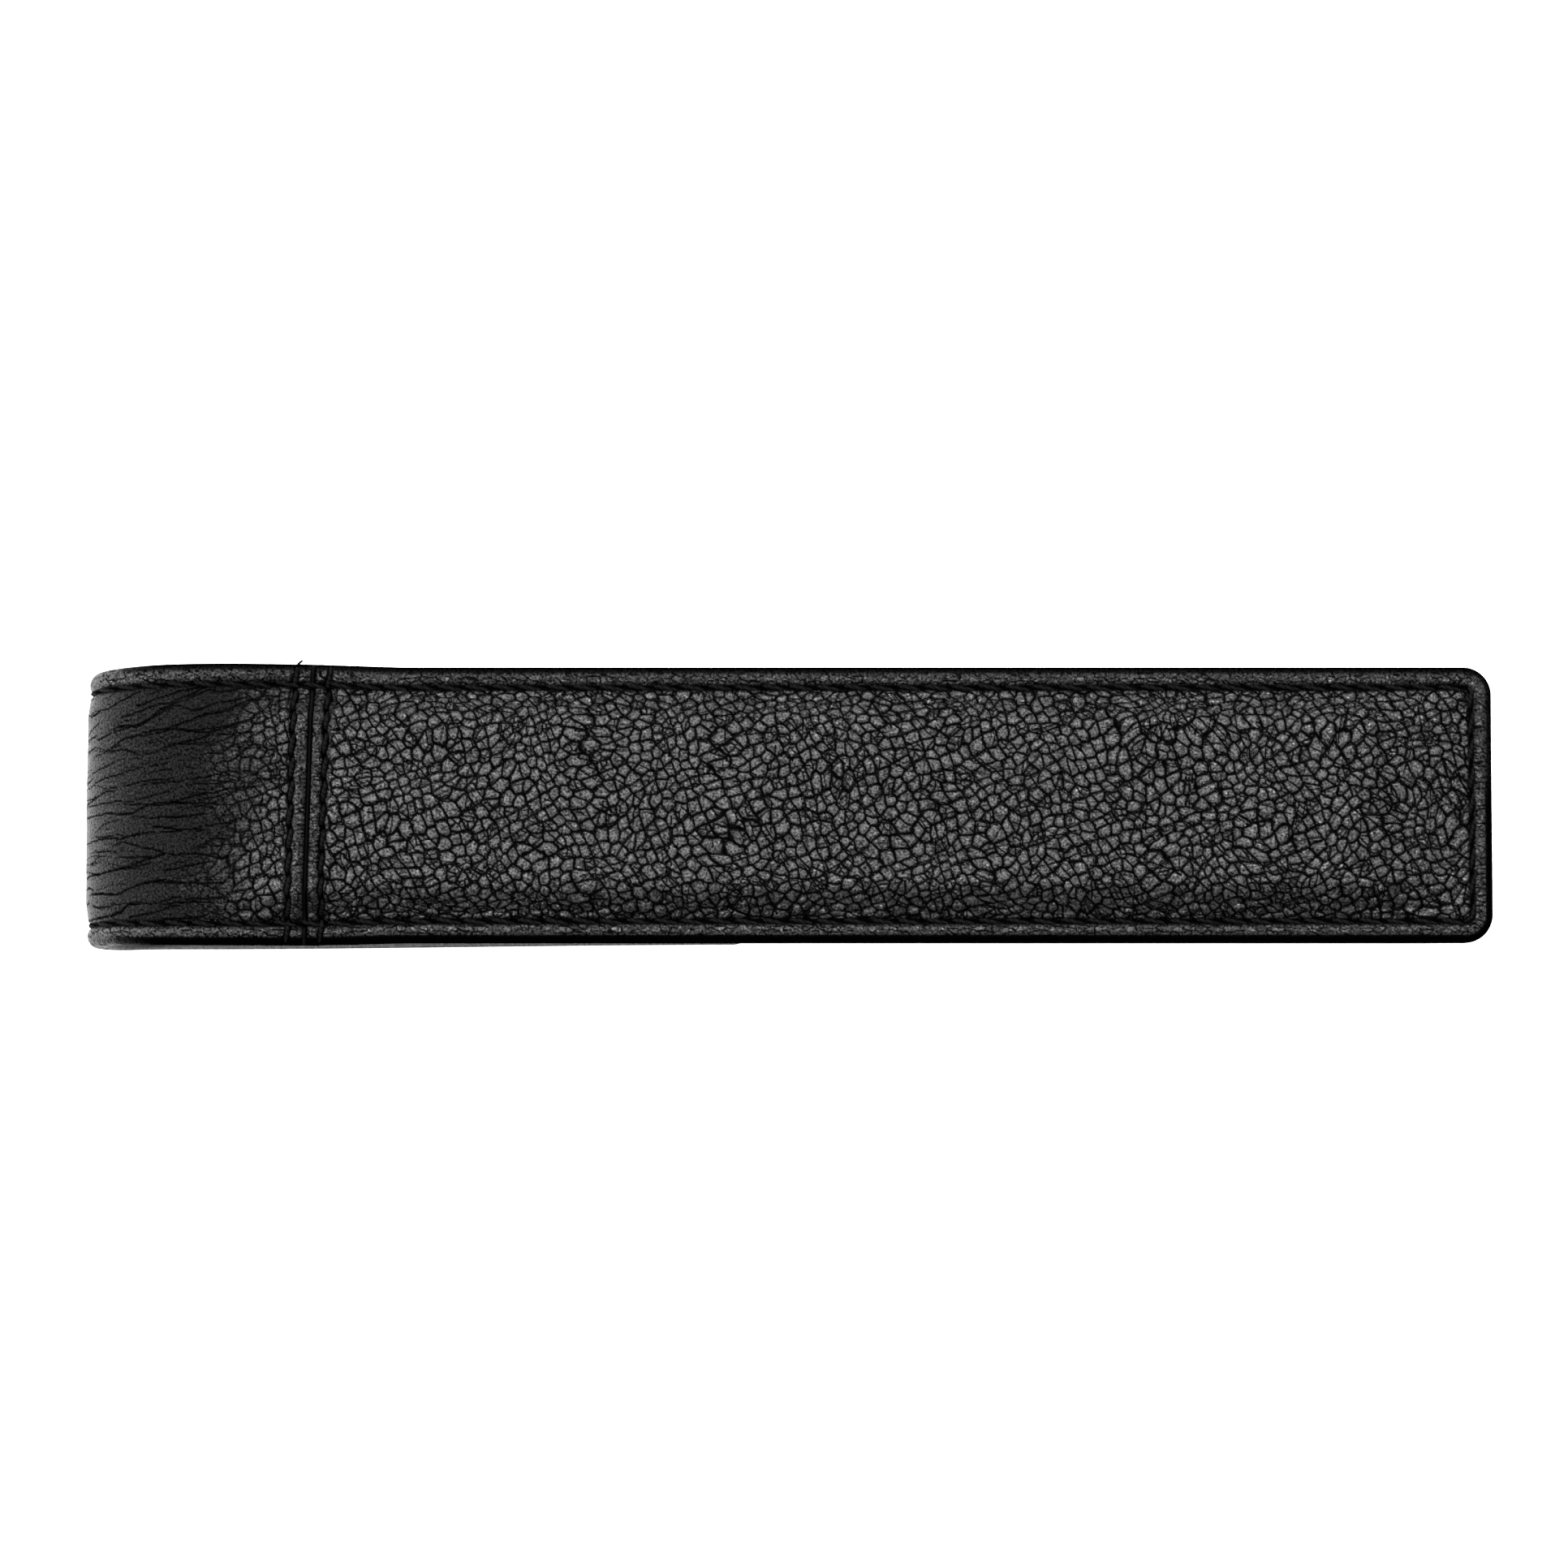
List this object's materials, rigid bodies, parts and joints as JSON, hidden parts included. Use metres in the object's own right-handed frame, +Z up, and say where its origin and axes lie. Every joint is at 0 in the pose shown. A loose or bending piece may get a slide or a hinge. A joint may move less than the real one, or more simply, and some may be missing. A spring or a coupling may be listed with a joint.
{
  "type": "fountain pen case",
  "caption": "Slim grained leather case for a single fountain pen, with a wrap-around magnetic flap and stitched edges.",
  "frame": {"origin": "middle of the closed case's length and width, on the surface it lies on", "axes": "+X along the case from the fold of the flap to the closed end, +Z up out of the plain back; the flap and the front of the pouch lie downwards"},
  "size_m": [0.16, 0.0322, 0.0181],
  "materials": {
    "leather": "black pebble-grained leather, soft sheen",
    "board": "matt fibre interlining board",
    "lining": "black microfibre, matt",
    "tape": "black woven reinforcing tape",
    "thread": "black waxed polyester sewing thread",
    "magnet_plating": "nickel plated"
  },
  "bodies": {
    "flap": {"flap_leather": "leather", "flap_lining": "lining", "flap_board": "board", "flap_magnet": "magnet_plating", "flap_edge_stitching": "thread"},
    "fold": {"fold_leather": "leather", "fold_lining": "lining", "fold_stitching_near": "thread", "fold_stitching_far": "thread"},
    "pouch": {"back_leather": "leather", "flap_leather_on_back": "leather", "seam_tape": "tape", "back_interlining": "board", "back_lining": "lining", "front_leather": "leather", "front_interlining": "board", "front_lining": "lining", "keeper_plate": "magnet_plating", "edge_stitching": "thread", "edge_stitching_on_front": "thread", "seam_stitching_back_side": "thread", "seam_stitching_flap_side": "thread", "mouth_stitching": "thread"}
  },
  "joints": [
    {"name": "lower_bend", "type": "hinge", "parent": "flap", "child": "fold", "pos_m": [-0.07756, 0, 0.0028], "axis": [0, -1, 0], "range_deg": [0, 90]},
    {"name": "upper_bend", "type": "hinge", "parent": "fold", "child": "pouch", "pos_m": [-0.07696, 0, 0.01392], "axis": [0, -1, 0], "range_deg": [0, 90]}
  ],
  "couplings": [
    {"joint": "upper_bend", "follows": "lower_bend", "ratio": 1}
  ]
}
